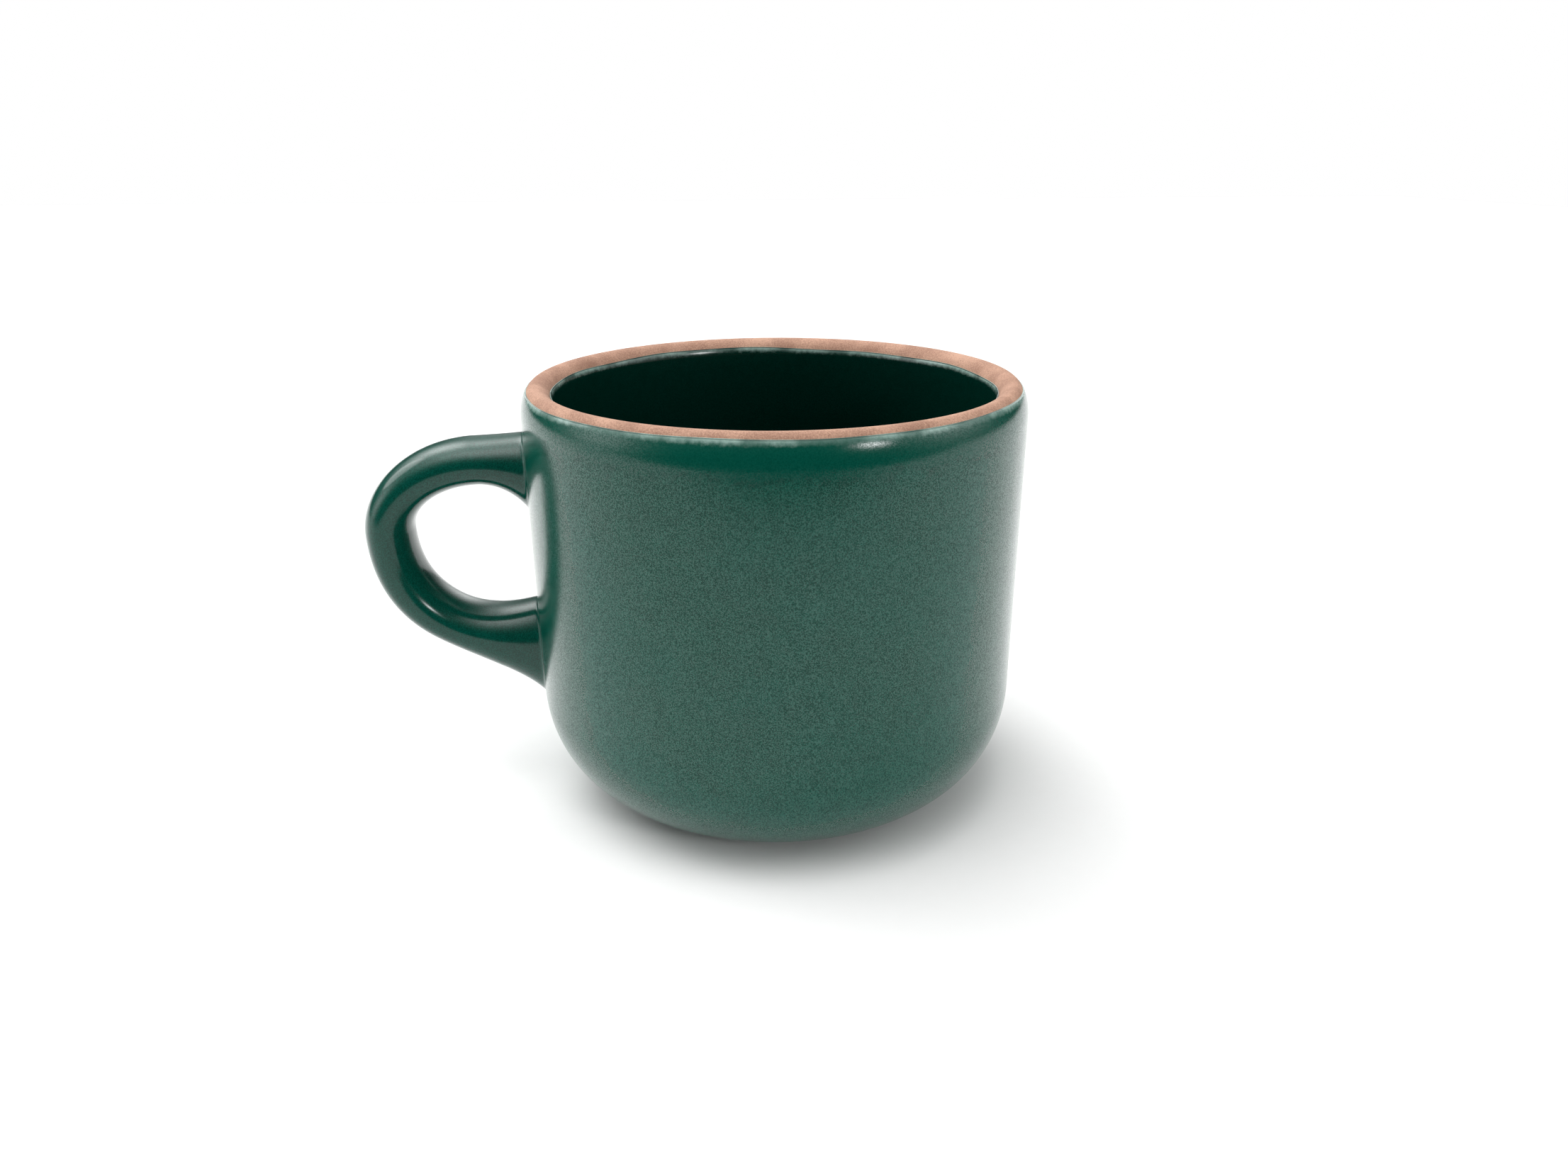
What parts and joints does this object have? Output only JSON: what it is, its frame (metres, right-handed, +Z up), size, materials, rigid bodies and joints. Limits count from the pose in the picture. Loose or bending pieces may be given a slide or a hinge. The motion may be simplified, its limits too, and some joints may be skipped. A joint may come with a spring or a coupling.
{
  "type": "teacup",
  "caption": "Straight-sided stoneware teacup with a rounded base, a bare clay lip and an ear-shaped handle luted to the wall; dark green glaze inside and out.",
  "frame": {"origin": "centre of the flat foot, on the cup's axis, on the table", "axes": "+Z up along the cup's axis; the handle points along -X; Y is across the cup"},
  "size_m": [0.1144, 0.086, 0.0742],
  "materials": {
    "bare_clay": "matt, unglazed, fine sandy grain",
    "slip": "matt, unglazed",
    "outer_glaze": "satin green with fine mottled grain",
    "inner_glaze": "satin green, darker and smoother than outside"
  },
  "bodies": {
    "root": {"clay_cup": "bare_clay", "clay_handle": "bare_clay", "upper_slip_joint": "slip", "lower_slip_joint": "slip", "outside_glaze": "outer_glaze", "inside_glaze": "inner_glaze", "handle_glaze": "outer_glaze"}
  },
  "joints": []
}
